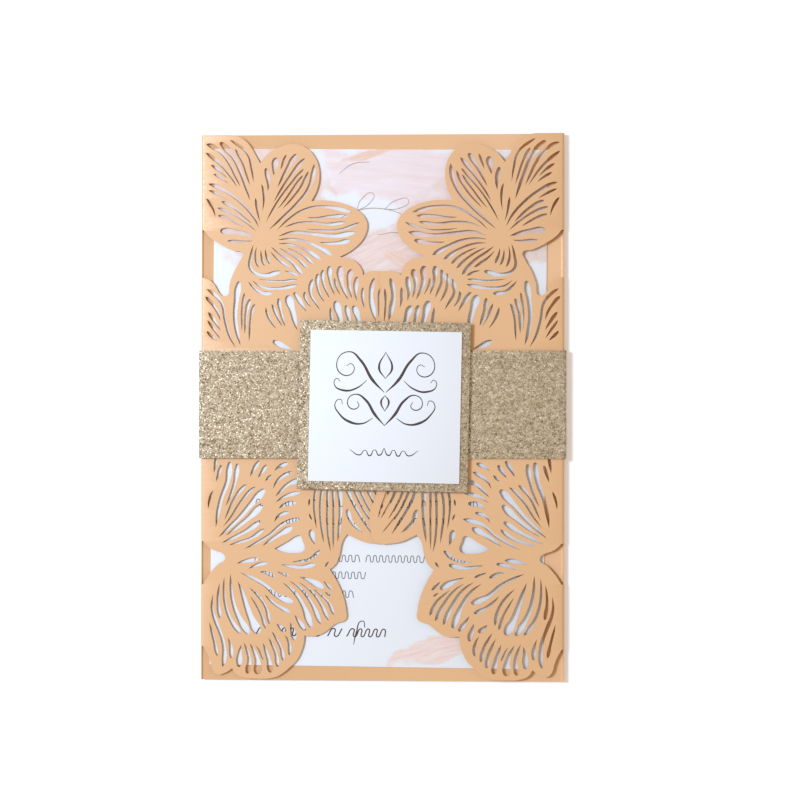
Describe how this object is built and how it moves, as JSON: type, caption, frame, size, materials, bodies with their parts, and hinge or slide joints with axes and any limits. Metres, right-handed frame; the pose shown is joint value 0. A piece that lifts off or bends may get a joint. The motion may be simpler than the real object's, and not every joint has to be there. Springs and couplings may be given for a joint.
{
  "type": "laser-cut wedding invitation",
  "caption": "Gatefold card sleeve with laser-cut flower lace on its gates, a printed insert, a glitter belly band that slides off, and a square tag on a mat.",
  "frame": {"origin": "centre of the bounding box, at the flat back face it lies on", "axes": "+X to the right of the invitation, +Y to its top edge, +Z out of its front"},
  "size_m": [0.1244, 0.185, 0.0054],
  "materials": {
    "pearl_gold_card": "pearlescent card, satin",
    "white_card": "matte white card, printed",
    "glitter_card": "champagne glitter",
    "clear_tape": "double-sided tape",
    "foam_tape": "white foam tape"
  },
  "bodies": {
    "sleeve": {"laser_cut_sleeve": "pearl_gold_card", "insert_card": "white_card"},
    "band": {"belly_band": "glitter_card", "band_seam_tape": "clear_tape", "mat_foam_pad_left": "foam_tape", "mat_foam_pad_right": "foam_tape", "tag_mat": "glitter_card", "tag_tape_upper": "clear_tape", "tag_tape_lower": "clear_tape", "tag_card": "white_card"}
  },
  "joints": [
    {"name": "band_slide", "type": "slide", "parent": "sleeve", "child": "band", "axis": [0, 1, 0], "range_m": [-0.122, 0.122]}
  ]
}
